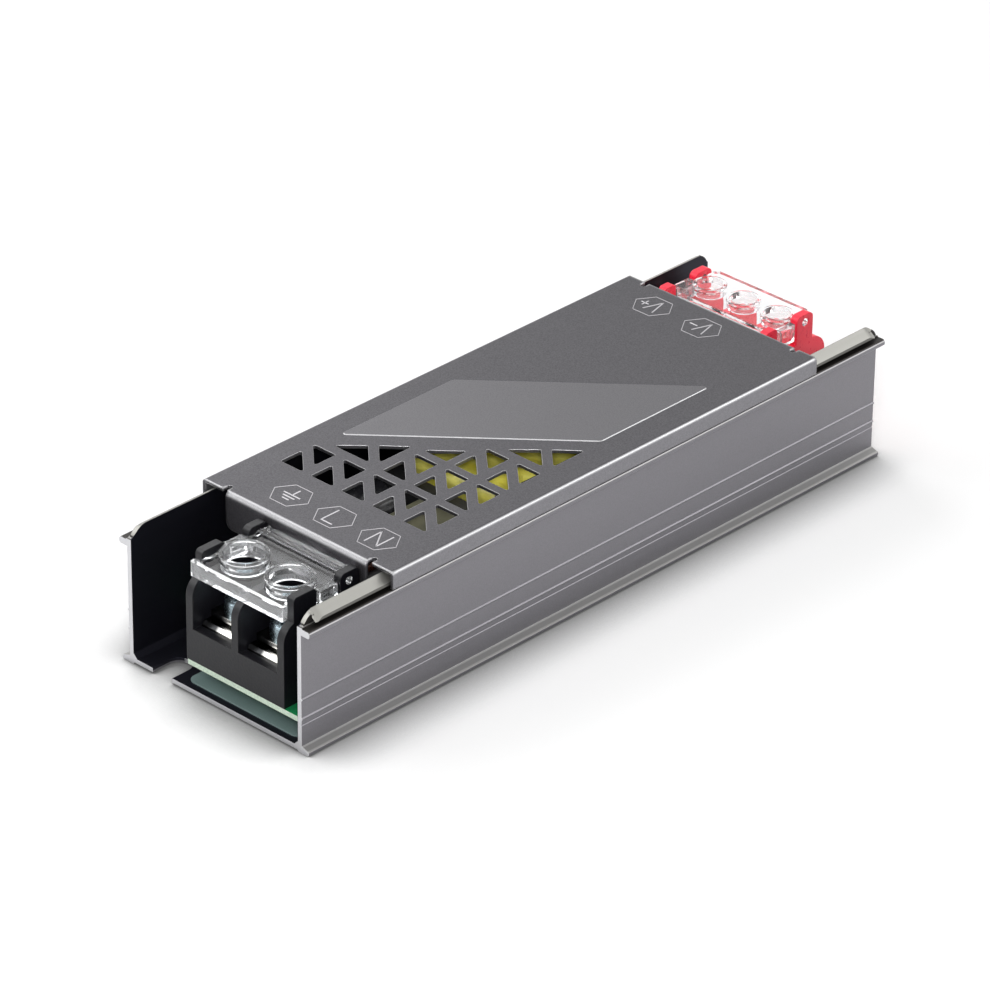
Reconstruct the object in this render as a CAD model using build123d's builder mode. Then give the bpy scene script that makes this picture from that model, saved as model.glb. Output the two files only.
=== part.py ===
from build123d import *
import os

os.makedirs("parts", exist_ok=True)

# Slim open-ended LED power supply: an extruded aluminium channel, a vented sheet
# cover, a board with its parts, and a clamp terminal block with a clear lid at each end.
# X runs across the case, Y from the input end to the output end, Z up from the table.

# Overall sizes
case_length = 146.0
case_width = 46.0
case_height = 27.75
input_end = -case_length / 2
output_end = case_length / 2

# Channel section
wall = 0.9
plate_bottom = 0.35
plate_top = 1.2
wall_outer = case_width / 2 - 2.0
wall_inner = wall_outer - wall
foot_tip = case_width / 2 - 0.3
foot_top = 1.4
corner_chamfer = 0.9
rib_heights = (6.7, 10.45)
rib_proud = 0.22
groove_height = 5.45
groove_depth = 0.15
ledge_bottom = 22.95
ledge_top = 24.2
ledge_step = 0.3
lip_bottom = 26.2
lip_top = 26.7
lip_tip = case_width / 2 - 0.8
end_round = 2.3
slot_width = 4.8
slot_depth = 6.2
slot_x = wall_inner - 7.2

# Cover
sheet = 0.65
cover_start = input_end + 19.6
cover_stop = output_end - 18.9
skirt_bottom = 24.35
flange_bottom = 20.4
flange_half = wall_inner - 3.2
rear_flange_half = wall_inner - 2.5
flange_step = 0.45
cover_bend = 0.75
relief = 1.1
catch_depth = 0.3

# Vents: each cell of the lattice holds two right triangles, one turned half a turn
vent_pitch_x = 7.42
vent_pitch_y = 10.03
vent_leg_x = 5.65
vent_leg_y = 5.25
vent_corner_x = 2.65
vent_corner_y = 4.1
vent_x0 = -15.2
vent_y0 = input_end + 37.3
vent_round = 0.35
# Vents along the slanted edge: column, row and corners measured from the centre of that cell
wide_vent = ((-0.2, -3.8), (8.6, -3.8), (4.2, 0.4))
steep_vent = ((5.5, 1.7), (9.9, -2.5), (9.9, 5.5))
middle_vent = ((-2.8, -4.1), (2.95, -4.1), (2.95, 1.1))
edge_vents = (
    (0, 1, wide_vent), (0, 1, steep_vent), (2, 2, middle_vent), (3, 3, wide_vent), (3, 3, steep_vent),
)

# Label field pressed into the cover
field_half = wall_inner - 3.05
field_x = -0.25
field_near = input_end + 46.8
field_side = 28.4
field_rise = 30.4
field_raise = 0.15
cover_top = case_height - field_raise

# Board and insulating sheet
board_bottom = 5.0
board_thickness = 1.0
board_top = board_bottom + board_thickness
board_half = wall_inner - 0.3
board_inset = 1.0
board_notch_depth = 14.5
board_notch_left = 8.3
board_notch_right = 10.1
liner_thickness = 0.25
liner_half = wall_inner - 1.5
liner_inset = 1.4
standoff_size = 5.5
board_screw = 3.0
# Four board screws: front right, middle left, middle right, rear left
standoff_sites = [
    (wall_inner - 6.9, input_end + 22.2), (4.1 - wall_inner, input_end + 55.5),
    (wall_inner - 3.9, input_end + 52.0), (3.6 - wall_inner, output_end - 21.5),
]

# Terminal blocks, both ends
block_inset = 1.0
block_wall = 1.6
bay_floor = 12.3
screw_back = 8.8
ear_round = 1.1
shoulder_round = 0.8
hinge_pin = 1.5
hinge_bore = 1.62
lid_plate = 1.0
collar_top = 26.2
tab_low = 22.3

# Input block
input_poles = 2
input_pitch = 11.0
input_x = 4.05
input_depth = 17.8
input_wall_top = 21.9
input_ear_top = 26.4
input_hinge_y = input_end + 16.4
input_hinge_z = 24.6
input_collar_outer = 8.4
input_collar_wall = 0.65
collar_bead = 0.2

# Output block
output_poles = 3
output_pitch = 8.25
output_x = -3.5
output_depth = 16.9
output_wall_top = 21.4
output_ear_top = 26.9
output_hinge_y = output_end - 6.7
output_hinge_z = 25.3
output_collar_outer = 6.0
output_collar_wall = 0.55

# Screws and clamps
input_thread = 4.0
output_thread = 3.0
contact_thickness = 1.0
clamp_thickness = 0.9
clamp_rest = 0.6


# Fine ribs that run along each side wall, and the groove below them, from the bottom up
wall_lines = [(wall_outer, groove_height - 0.15), (wall_outer - groove_depth, groove_height),
              (wall_outer, groove_height + 0.15)]
for height in rib_heights:
    wall_lines += [
        (wall_outer, height - 0.3), (wall_outer + rib_proud, height - 0.05),
        (wall_outer + rib_proud, height + 0.05), (wall_outer, height + 0.25),
    ]

# Base channel: one extruded section, ends milled afterwards
with BuildPart() as base_channel:
    with BuildSketch(Plane.XZ) as section:
        with BuildLine() as outline:
            Polyline(
                (0, plate_bottom), (wall_inner - 0.2, plate_bottom), (wall_inner + 0.1, 0),
                (foot_tip - 0.25, 0), (foot_tip, 0.3), (foot_tip, 0.8), (wall_outer, foot_top),
                *wall_lines,
                (wall_outer, ledge_bottom), (case_width / 2 - 0.3, ledge_bottom),
                (case_width / 2, ledge_bottom + 0.3), (case_width / 2, ledge_top - 0.35),
                (case_width / 2 - 0.35, ledge_top), (wall_outer + ledge_step, ledge_top),
                (wall_outer + ledge_step, ledge_top + ledge_step), (wall_outer, ledge_top + ledge_step),
                (wall_outer, lip_bottom + 0.1), (wall_outer + 0.15, lip_bottom),
                (lip_tip - 0.2, lip_bottom), (lip_tip, lip_bottom + 0.2),
                (lip_tip, lip_top - 0.2), (lip_tip - 0.2, lip_top), (wall_inner + 0.15, lip_top),
                (wall_inner, lip_top - 0.15), (wall_inner, plate_top + corner_chamfer),
                (wall_inner - corner_chamfer, plate_top), (0, plate_top),
            )
            Line((0, plate_top), (0, plate_bottom))
        make_face()
        mirror(about=Plane.YZ)
    extrude(amount=case_length / 2, both=True)
    # top corners of both walls rounded off above the ledge
    for end, inward in ((input_end, 1), (output_end, -1)):
        with BuildSketch(Plane.YZ):
            with Locations((end + inward * end_round / 2, lip_top - end_round / 2 + 0.5)):
                Rectangle(end_round, end_round + 1.0)
            with Locations((end + inward * end_round, lip_top - end_round)):
                Circle(end_round, mode=Mode.SUBTRACT)
        extrude(amount=case_width / 2, both=True, mode=Mode.SUBTRACT)
    # open mounting slots, one at each end on opposite sides
    for end, inward, side in ((input_end, 1, -1), (output_end, -1, 1)):
        with BuildSketch(Plane.XY):
            with Locations((side * slot_x, end + inward * (slot_depth - slot_width / 2) / 2)):
                Rectangle(slot_width, slot_depth - slot_width / 2)
            with Locations((side * slot_x, end + inward * (slot_depth - slot_width / 2))):
                Circle(slot_width / 2)
        extrude(amount=plate_top + 0.5, mode=Mode.SUBTRACT)
    # holes for the standoffs
    with BuildSketch(Plane.XY):
        with Locations(*standoff_sites):
            Circle(standoff_size / 2 - 0.6)
    extrude(amount=plate_top + 0.5, mode=Mode.SUBTRACT)
base_channel.part.label = "base_channel"
export_step(base_channel.part, "parts/base_channel.step")

# Insulating sheet on the floor of the channel, cut back at the mounting slots
with BuildPart() as insulation_sheet:
    with BuildSketch(Plane.XY.offset(plate_top)) as sheet_outline:
        Rectangle(2 * liner_half, case_length - 2 * liner_inset)
        for end, inward, side in ((input_end, 1, -1), (output_end, -1, 1)):
            with Locations((side * liner_half, end + inward * liner_inset)):
                Rectangle(
                    2 * (liner_half - board_notch_left), 2 * (board_notch_depth - liner_inset),
                    mode=Mode.SUBTRACT,
                )
        fillet(sheet_outline.vertices(), 1.6)
    extrude(amount=liner_thickness)
    with BuildSketch(Plane.XY):
        with Locations(*standoff_sites):
            Circle(standoff_size / 2 + 0.6)
    extrude(amount=board_bottom, mode=Mode.SUBTRACT)
insulation_sheet.part.label = "insulation_sheet"
export_step(insulation_sheet.part, "parts/insulation_sheet.step")

# Standoffs pressed into the floor, under four board screws
with BuildPart() as board_standoffs:
    with BuildSketch(Plane.XY.offset(plate_top)):
        with Locations(*standoff_sites):
            RegularPolygon(standoff_size / 2, 6, major_radius=False)
    extrude(amount=board_bottom - plate_top)
    with BuildSketch(Plane.XY.offset(plate_bottom)):
        with Locations(*standoff_sites):
            Circle(standoff_size / 2 - 0.6)
    extrude(amount=plate_top - plate_bottom)
    with BuildSketch(Plane.XY):
        with Locations(*standoff_sites):
            Circle(board_screw / 2)
    extrude(amount=board_bottom + 1, mode=Mode.SUBTRACT)
board_standoffs.part.label = "board_standoffs"
export_step(board_standoffs.part, "parts/board_standoffs.step")


# Where the solder legs of the terminal contacts pass through the board
def in_a_row(poles, pitch, centre, y):
    return [(centre + (i - (poles - 1) / 2) * pitch, y) for i in range(poles)]


input_sites = in_a_row(input_poles, input_pitch, input_x, input_end + screw_back)
output_sites = in_a_row(output_poles, output_pitch, output_x, output_end - screw_back)
leg_back = 5.4
leg_size = (1.2, 0.8)
leg_sites = [(x, y + leg_back) for x, y in input_sites] + [(x, y - leg_back) for x, y in output_sites]

with BuildPart() as circuit_board:
    with BuildSketch(Plane.XY.offset(board_bottom)) as board_outline:
        Rectangle(2 * board_half, case_length - 2 * board_inset)
        for end, inward, side, edge in (
            (input_end, 1, -1, board_notch_left), (output_end, -1, 1, board_notch_right),
        ):
            with Locations((side * board_half, end + inward * board_inset)):
                notch = 2 * (board_notch_depth - board_inset)
                Rectangle(2 * (board_half - edge), notch, mode=Mode.SUBTRACT)
        chamfer(board_outline.vertices(), 0.8)
    extrude(amount=board_thickness)
    with BuildSketch(Plane.XY):
        with Locations(*leg_sites):
            Circle(0.95)
        with Locations(*standoff_sites):
            Circle(board_screw / 2 + 0.15)
    extrude(amount=board_top + 1, mode=Mode.SUBTRACT)
circuit_board.part.label = "circuit_board"
export_step(circuit_board.part, "parts/circuit_board.step")

with BuildPart() as board_screws:
    with BuildSketch(Plane.XY.offset(board_top)):
        with Locations(*standoff_sites):
            Circle(2.75)
    extrude(amount=1.8)
    fillet(board_screws.faces().sort_by(Axis.Z)[-1].edges(), 0.9)
    for face in board_screws.faces().filter_by(Axis.Z).group_by(Axis.Z)[-1]:
        with BuildSketch(Plane(face.center())):
            Rectangle(3.0, 0.7)
            Rectangle(0.7, 3.0)
        extrude(amount=-1.0, mode=Mode.SUBTRACT)
    with BuildSketch(Plane.XY.offset(board_top - 4.4)):
        with Locations(*standoff_sites):
            Circle(board_screw / 2 - 0.03)
    extrude(amount=4.4)
board_screws.part.label = "board_screws"
export_step(board_screws.part, "parts/board_screws.step")


# Terminal blocks. "out" is the direction the wires come from, -1 at the input end.
def block_body(poles, pitch, centre, end, out, depth, wall_top, ear_top, hinge, ear, shoulder, tip_bore):
    half = (poles * pitch + block_wall) / 2
    front = end - out * block_inset
    back = front - out * depth
    face = end - out * screw_back
    with BuildPart() as body:
        with BuildSketch(Plane.XY.offset(board_top)):
            with Locations((centre, (front + back) / 2)):
                Rectangle(2 * half, depth)
        extrude(amount=wall_top - board_top)
        # wire bays, open at the front and on top
        with BuildSketch(Plane.XY.offset(bay_floor)):
            for i in range(poles):
                with Locations((centre + (i - (poles - 1) / 2) * pitch, front - out * 6.9)):
                    Rectangle(pitch - block_wall, 13.8)
        extrude(amount=wall_top, mode=Mode.SUBTRACT)
        # front top corners of the walls rounded off
        with BuildSketch(Plane.YZ):
            with Locations((front - out * 1.75, wall_top - 0.75)):
                Rectangle(3.5, 5.5)
            with Locations((front - out * 3.5, wall_top - 3.5)):
                Circle(3.5, mode=Mode.SUBTRACT)
        extrude(amount=case_width, both=True, mode=Mode.SUBTRACT)
        # end cheeks with hinge ears and snap shoulders
        for side in (-1, 1):
            outer = centre + side * half
            for (y0, y1), rounding in ((ear, ear_round), (shoulder, shoulder_round)):
                with BuildSketch(Plane.YZ.offset(outer)) as cheek:
                    with Locations(((y0 + y1) / 2, (wall_top - 1.5 + ear_top) / 2)):
                        Rectangle(abs(y1 - y0), ear_top - wall_top + 1.5)
                    fillet(cheek.vertices().group_by(Axis.Y)[-1], rounding)
                extrude(amount=-side * block_wall)
            with BuildSketch(Plane.YZ.offset(outer)):
                with Locations(hinge):
                    Circle(hinge_bore / 2)
            extrude(amount=-side * block_wall, mode=Mode.SUBTRACT)
        # recess that seats each contact
        with BuildSketch(Plane.XY.offset(bay_floor)):
            for i in range(poles):
                with Locations((centre + (i - (poles - 1) / 2) * pitch, face - out * leg_back)):
                    Rectangle(leg_size[0] + 0.1, leg_size[1] + 0.1)
        extrude(amount=-bay_floor, mode=Mode.SUBTRACT)
        # room for the tip of each screw
        with BuildSketch(Plane.XY.offset(bay_floor)):
            for i in range(poles):
                with Locations((centre + (i - (poles - 1) / 2) * pitch, face)):
                    Circle(tip_bore / 2)
        extrude(amount=-4.5, mode=Mode.SUBTRACT)
    return body.part


with BuildPart() as input_terminal_body:
    add(block_body(
        input_poles, input_pitch, input_x, input_end, -1, input_depth, input_wall_top, input_ear_top,
        (input_hinge_y, input_hinge_z),
        (input_end + 14.3, input_end + 18.8), (input_end + 3.4, input_end + 8.7),
        input_thread + 0.6,
    ))
input_terminal_body.part.label = "input_terminal_body"
export_step(input_terminal_body.part, "parts/input_terminal_body.step")

with BuildPart() as output_terminal_body:
    add(block_body(
        output_poles, output_pitch, output_x, output_end, 1, output_depth, output_wall_top, output_ear_top,
        (output_hinge_y, output_hinge_z),
        (output_end - 9.0, output_end - 4.6), (output_end - 17.4, output_end - 14.4),
        output_thread + 0.6,
    ))
output_terminal_body.part.label = "output_terminal_body"
export_step(output_terminal_body.part, "parts/output_terminal_body.step")


# Clear lids: plate, beaded collars over the screws, a lip, snap tabs and hinge pins in one moulding
def clear_lid(sites, half, centre, near, far, hinge_y, hinge_z, collar, lip, tab):
    plate_low = hinge_z - lid_plate / 2
    plate_high = hinge_z + lid_plate / 2
    outer, thick = collar
    lip_start, lip_stop, lip_height, lip_half = lip
    with BuildPart() as lid:
        with BuildSketch(Plane.XY.offset(plate_low)) as plate:
            with Locations((centre, (near + far) / 2)):
                Rectangle(2 * half, abs(far - near))
            chamfer(plate.vertices(), 0.8)
        extrude(amount=lid_plate)
        # lip along the front edge
        with BuildSketch(Plane.XY.offset(plate_high)) as lip_outline:
            with Locations((centre, (lip_start + lip_stop) / 2)):
                Rectangle(2 * lip_half, lip_stop - lip_start)
            fillet(lip_outline.vertices(), 0.4)
        extrude(amount=-lip_height)
        # collars that guide a screwdriver to each screw, with a bead round the rim
        with BuildSketch(Plane.XY.offset(plate_low - 1.0)):
            with Locations(*sites):
                Circle(outer / 2)
        extrude(amount=collar_top - plate_low + 1.0)
        with BuildSketch(Plane.XY.offset(collar_top - 0.5)):
            with Locations(*sites):
                Circle(outer / 2 + collar_bead)
        extrude(amount=0.5)
        with BuildSketch(Plane.XY.offset(plate_low - 2.0)):
            with Locations(*sites):
                Circle(outer / 2 - thick)
        extrude(amount=6.0, mode=Mode.SUBTRACT)
        fillet(lid.edges().filter_by(GeomType.CIRCLE).group_by(Axis.Z)[-1], 0.2)
        # side tabs with square windows, and the hinge pins
        for side in (-1, 1):
            edge = centre + side * half
            tab_middle = ((tab[0] + tab[1]) / 2, (tab_low + plate_high) / 2)
            with BuildSketch(Plane.YZ.offset(edge - side * 0.2)):
                with Locations(tab_middle):
                    Rectangle(tab[1] - tab[0], plate_high - tab_low)
            extrude(amount=side * (block_wall + 0.2))
            with BuildSketch(Plane.YZ.offset(edge)):
                with Locations(tab_middle):
                    Rectangle(tab[1] - tab[0] - 1.4, plate_high - tab_low - 1.2)
            extrude(amount=side * block_wall, mode=Mode.SUBTRACT)
            with BuildSketch(Plane.YZ.offset(edge)):
                with Locations((hinge_y, hinge_z)):
                    Circle(hinge_pin / 2)
            extrude(amount=side * (block_wall + 0.1))
    return lid.part


lid_side_gap = 0.15
input_half = input_poles * input_pitch / 2 - block_wall / 2 - lid_side_gap
with BuildPart() as input_terminal_lid:
    add(clear_lid(
        input_sites, input_half, input_x, input_end + 1.4, input_end + 18.5, input_hinge_y, input_hinge_z,
        (input_collar_outer, input_collar_wall), (input_end + 1.4, input_end + 2.8, 2.7, input_half + 1.1),
        (input_end + 9.5, input_end + 13.8),
    ))
    # stiffening bar over the hinge
    with BuildSketch(Plane.XY.offset(input_hinge_z + lid_plate / 2)):
        with Locations((input_x, input_end + 17.4)):
            Rectangle(2 * input_half - 0.6, 2.2)
    extrude(amount=0.5)
input_terminal_lid.part.label = "input_terminal_lid"
export_step(input_terminal_lid.part, "parts/input_terminal_lid.step")

output_half = output_poles * output_pitch / 2 - block_wall / 2 - lid_side_gap
with BuildPart() as output_terminal_lid:
    add(clear_lid(
        output_sites, output_half, output_x, output_end - 15.0, output_end - 3.3,
        output_hinge_y, output_hinge_z, (output_collar_outer, output_collar_wall),
        (output_end - 15.0, output_end - 14.0, 1.2, output_half - 0.8),
        (output_end - 13.5, output_end - 9.4),
    ))
output_terminal_lid.part.label = "output_terminal_lid"
export_step(output_terminal_lid.part, "parts/output_terminal_lid.step")


# Contacts, captive clamp plates and screws, one set in each wire bay
def contact(site, out, width, thread):
    x, y = site
    with BuildPart() as piece:
        with BuildSketch(Plane.XY.offset(bay_floor)):
            with Locations((x, y)):
                Rectangle(width, 2 * leg_back + 1.0)
        extrude(amount=contact_thickness)
        front = piece.faces().sort_by(Axis.Y)[0 if out < 0 else -1]
        chamfer(front.edges().filter_by(Axis.X).sort_by(Axis.Z)[-1], 0.6)
        with BuildSketch(Plane.XY.offset(board_bottom - 1.2)):
            with Locations((x, y - out * leg_back)):
                Rectangle(*leg_size)
        extrude(amount=bay_floor - board_bottom + 1.2 + contact_thickness / 2)
        with BuildSketch(Plane.XY.offset(bay_floor)):
            with Locations((x, y)):
                Circle(thread / 2 + 0.03)
        extrude(amount=contact_thickness, mode=Mode.SUBTRACT)
    return piece.part


def clamp(site, out, width, thread):
    x, y = site
    low = bay_floor + contact_thickness + clamp_rest
    with BuildPart() as piece:
        with BuildSketch(Plane.XY.offset(low)) as plate:
            with Locations((x, y)):
                Rectangle(width, width)
            fillet(plate.vertices(), 0.6)
        extrude(amount=clamp_thickness)
        # grooves that grip the wire
        with BuildSketch(Plane.XY.offset(low)):
            for step in (-0.4, 0.4):
                with Locations((x, y + step * width)):
                    Rectangle(width, 0.4)
        extrude(amount=0.3, mode=Mode.SUBTRACT)
        with BuildSketch(Plane.XY.offset(low)):
            with Locations((x, y)):
                Circle(thread / 2 + 0.05)
        extrude(amount=clamp_thickness, mode=Mode.SUBTRACT)
    return piece.part


def clamp_screw(site, thread, head, head_height):
    x, y = site
    seat = bay_floor + contact_thickness + clamp_rest + clamp_thickness
    with BuildPart() as piece:
        with BuildSketch(Plane.XY.offset(seat)):
            with Locations((x, y)):
                Circle(head / 2)
        extrude(amount=head_height)
        fillet(piece.faces().sort_by(Axis.Z)[-1].edges(), head_height / 3)
        with BuildSketch(Plane.XY.offset(seat + head_height)):
            with Locations((x, y)):
                Rectangle(head, head_height / 2.6)
                Rectangle(head_height / 2.6, head * 0.62)
        extrude(amount=-head_height / 2, mode=Mode.SUBTRACT)
        with BuildSketch(Plane.XY.offset(seat)):
            with Locations((x, y)):
                Circle(thread / 2)
        extrude(amount=-5.4)
        chamfer(piece.faces().sort_by(Axis.Z)[0].edges(), 0.4)
    return piece.part


ends = (
    ("input", input_sites, -1, input_pitch - block_wall, input_thread, 7.2, 2.7),
    ("output", output_sites, 1, output_pitch - block_wall, output_thread, 5.5, 2.1),
)
for name, sites, out, bay, thread, head, head_height in ends:
    for number, site in enumerate(sites, 1):
        with BuildPart() as terminal_contact:
            add(contact(site, out, bay - 0.5, thread))
        terminal_contact.part.label = f"{name}_contact_{number}"
        export_step(terminal_contact.part, f"parts/{name}_contact_{number}.step")
        with BuildPart() as terminal_clamp:
            add(clamp(site, out, bay - 0.9, thread))
        terminal_clamp.part.label = f"{name}_clamp_{number}"
        export_step(terminal_clamp.part, f"parts/{name}_clamp_{number}.step")
        with BuildPart() as terminal_screw:
            add(clamp_screw(site, thread, head, head_height))
        terminal_screw.part.label = f"{name}_screw_{number}"
        export_step(terminal_screw.part, f"parts/{name}_screw_{number}.step")

# Top cover: folded sheet with turned-down flanges at both ends, vents and a raised field
with BuildPart() as top_cover:
    with BuildSketch(Plane.XZ.offset(-cover_start)) as shell:
        with Locations((0, (skirt_bottom + cover_top) / 2)):
            Rectangle(case_width, cover_top - skirt_bottom)
        fillet(shell.vertices().group_by(Axis.Y)[-1], cover_bend)
        with Locations((0, (skirt_bottom + cover_top - sheet) / 2 - 0.5)):
            Rectangle(case_width - 2 * sheet, cover_top - sheet - skirt_bottom + 1.0, mode=Mode.SUBTRACT)
    extrude(amount=-(cover_stop - cover_start))
    for edge, out, half in ((cover_start, -1, flange_half), (cover_stop, 1, rear_flange_half)):
        # relief slots beside each flange
        with BuildSketch(Plane.XY.offset(cover_top)):
            for side in (-1, 1):
                with Locations((side * (half + relief / 2), edge - out * relief / 2)):
                    Rectangle(relief, relief)
                with Locations((side * (half + relief / 2), edge - out * relief)):
                    Circle(relief / 2)
        extrude(amount=-sheet, mode=Mode.SUBTRACT)
        # flange turned down inside the channel, with a rounded bend
        bend = 2 * sheet
        face = edge + out * flange_step
        with BuildSketch(Plane.YZ.offset(-half)) as fold:
            middle = (face + edge - out * 2.0) / 2
            with Locations((middle, (cover_top + flange_bottom) / 2)):
                Rectangle(2.0 + flange_step, cover_top - flange_bottom)
            with Locations((middle - out * sheet, (cover_top + flange_bottom) / 2 - sheet)):
                Rectangle(2.0 + flange_step, cover_top - flange_bottom, mode=Mode.SUBTRACT)
            tops = fold.vertices().group_by(Axis.Y)[-1]
            fillet(tops.sort_by(Axis.X)[0 if out < 0 else -1], bend)
        extrude(amount=2 * half)
        lower = top_cover.edges().filter_by(Axis.Y).group_by(Axis.Z)[0]
        lower = lower.filter_by(lambda e: abs(e.center().Y - face) < 2)
        fillet(lower, 1.6)
    # vents
    triangles = []
    for row, columns in enumerate(((0, 1, 2, 3, 4), (2, 3, 4), (3, 4))):
        for column in columns:
            for turn in (-1, 1):
                x = vent_x0 + column * vent_pitch_x + turn * vent_corner_x
                y = vent_y0 + row * vent_pitch_y + turn * vent_corner_y
                triangles.append(((x, y), (x - turn * vent_leg_x, y), (x, y - turn * vent_leg_y)))
    for column, row, corners in edge_vents:
        x, y = vent_x0 + column * vent_pitch_x, vent_y0 + row * vent_pitch_y
        triangles.append([(x + dx, y + dy) for dx, dy in corners])
    with BuildSketch(Plane.XY.offset(cover_top)) as vents:
        for corners in triangles:
            with BuildLine():
                Polyline(*corners, close=True)
            make_face()
        fillet(vents.vertices(), vent_round)
    extrude(amount=-2 * sheet, mode=Mode.SUBTRACT)
    # raised field with a soft edge
    with BuildSketch(Plane.XY.offset(cover_top)) as field:
        with BuildLine():
            Polyline(
                (field_x - field_half, field_near), (field_x + field_half, field_near + field_rise),
                (field_x + field_half, field_near + field_rise + field_side),
                (field_x - field_half, field_near + field_side), close=True,
            )
        make_face()
        fillet(field.vertices().sort_by(Axis.Y)[1:-1], 1.2)
        fillet([field.vertices().sort_by(Axis.Y)[0], field.vertices().sort_by(Axis.Y)[-1]], 0.6)
    extrude(amount=field_raise, taper=45)
    # catches inside the skirts that hook under the lip of the channel
    for side in (-1, 1):
        inner = side * (case_width / 2 - sheet)
        for y in (cover_start + 14, (cover_start + cover_stop) / 2, cover_stop - 14):
            with BuildSketch(Plane.XZ.offset(-y + 4)):
                with BuildLine():
                    Polyline(
                        (inner, lip_bottom - 0.15), (inner - side * catch_depth, lip_bottom - 0.15),
                        (inner, lip_bottom - 1.2), close=True,
                    )
                make_face()
            extrude(amount=-8)
top_cover.part.label = "top_cover"
export_step(top_cover.part, "parts/top_cover.step")


# Board parts. Distances along the case are given from the input end.
def along(distance):
    return input_end + distance


# Bulk capacitor lying along the case, with the rolled groove near its sealed end
bulk_radius = 7.5
bulk_length = 25.0
bulk_x = bulk_radius + 1.9 - wall_inner
with BuildPart() as bulk_capacitor:
    with BuildSketch(Plane.YZ) as bulk_half:
        with BuildLine():
            Polyline(
                (0, 0), (bulk_radius - 0.6, 0), (bulk_radius, 0.6), (bulk_radius, 2.2),
                (bulk_radius - 0.7, 2.9), (bulk_radius - 0.7, 3.3), (bulk_radius, 4.0),
                (bulk_radius, bulk_length - 0.6), (bulk_radius - 0.6, bulk_length), (0, bulk_length),
                close=True,
            )
        make_face()
    revolve(axis=Axis.Z)
bulk_capacitor.part.locate(Location((bulk_x, along(24.6), board_top + bulk_radius), (-90, 0, 0)))
bulk_capacitor.part.label = "bulk_capacitor"
export_step(bulk_capacitor.part, "parts/bulk_capacitor.step")

with BuildPart() as fuse:
    with BuildSketch(Plane.XY.offset(board_top)) as fuse_base:
        with Locations((5.5 - wall_inner, along(22.1))):
            Rectangle(8.4, 3.6)
        fillet(fuse_base.vertices(), 0.6)
    extrude(amount=8.0)
    chamfer(fuse.faces().sort_by(Axis.Z)[-1].edges(), 0.3)
fuse.part.label = "fuse"
export_step(fuse.part, "parts/fuse.step")

# Discs standing on their leads
transformer_front = along(51.2)
core_span, core_depth, core_height = 30.3, 30.8, 10.0
core_rise, bobbin_rise = 4.4, 18.0
transformer_rear = transformer_front + core_depth
surge_x = wall_inner - 2.7
surge_thickness = 3.6
safety_y = transformer_rear + 6.0
discs = (
    ("surge_absorber", Plane.YZ, (surge_x, along(27.0), 17.6), 6.6, surge_thickness),
    ("inrush_limiter", Plane.XZ, (0.5, along(22.6), 12.6), 4.5, 3.4),
    ("safety_capacitor", Plane.YZ, (wall_inner - 3.1, safety_y, 12.6), 4.5, 3.4),
)
lead = 0.6
for name, plane, centre, radius, thickness in discs:
    turned = Plane(origin=centre, x_dir=plane.x_dir, z_dir=plane.z_dir)
    with BuildPart() as disc:
        with BuildSketch(turned):
            Circle(radius)
        extrude(amount=thickness / 2, both=True)
        fillet(disc.edges(), thickness / 2.6)
        with BuildSketch(turned):
            for side in (-1, 1):
                with Locations((side * radius * 0.55, (board_top - centre[2]) / 2)):
                    Rectangle(lead, centre[2] - board_top)
        extrude(amount=lead / 2, both=True)
    disc.part.label = name
    export_step(disc.part, f"parts/{name}.step")

# Common mode choke: a ring core standing on edge, with one winding on each side
ring_outer, ring_inner, ring_width, ring_wire = 5.4, 2.9, 6.0, 0.8
ring_reach = ring_outer + ring_wire
choke_at = (surge_x - surge_thickness / 2 - 0.6 - ring_reach, along(30.2), board_top + ring_reach - 0.1)
choke_plane = Plane(origin=choke_at, x_dir=(1, 0, 0), z_dir=(0, -1, 0))
with BuildPart() as choke_core:
    with BuildSketch(choke_plane):
        Circle(ring_outer)
        Circle(ring_inner, mode=Mode.SUBTRACT)
    extrude(amount=ring_width / 2, both=True)
    fillet(choke_core.edges(), 0.4)
choke_core.part.label = "choke_core"
export_step(choke_core.part, "parts/choke_core.step")
for name, side in (("choke_winding_1", -1), ("choke_winding_2", 1)):
    with BuildPart() as winding:
        with BuildSketch(choke_plane) as wrap:
            Circle(ring_reach)
            Circle(ring_inner - ring_wire, mode=Mode.SUBTRACT)
            with Locations((-side * (ring_outer - 1.4), 0)):
                Rectangle(2 * ring_outer, 4 * ring_outer, mode=Mode.SUBTRACT)
        extrude(amount=ring_width / 2 + ring_wire, both=True)
        with BuildSketch(choke_plane):
            Circle(ring_outer)
            Circle(ring_inner, mode=Mode.SUBTRACT)
        extrude(amount=ring_width / 2, both=True, mode=Mode.SUBTRACT)
    winding.part.label = name
    export_step(winding.part, f"parts/{name}.step")

# Square-cut moulded parts: filter capacitor, bridge, coupler and controller
boxes = (
    ("filter_capacitor", wall_inner - 10.5, along(42.0), 13.0, 12.6, 17.6, 0.5),
    ("bridge_rectifier", wall_inner - 1.8, along(42.0), 2.8, 14.0, 12.6, 0.4),
    ("optocoupler", wall_inner - 3.5, safety_y + 9.3, 4.6, 6.6, 3.6, 0.3),
    ("control_chip", 4.5 - wall_inner, along(66.0), 6.4, 9.4, 3.6, 0.3),
)
for name, x, y, size_x, size_y, size_z, edge in boxes:
    with BuildPart() as moulded:
        with BuildSketch(Plane.XY.offset(board_top)):
            with Locations((x, y)):
                Rectangle(size_x, size_y)
        extrude(amount=size_z)
        chamfer(moulded.faces().sort_by(Axis.Z)[-1].edges(), edge)
        chamfer(moulded.edges().filter_by(Axis.Z), edge)
    moulded.part.label = name
    export_step(moulded.part, f"parts/{name}.step")

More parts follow.
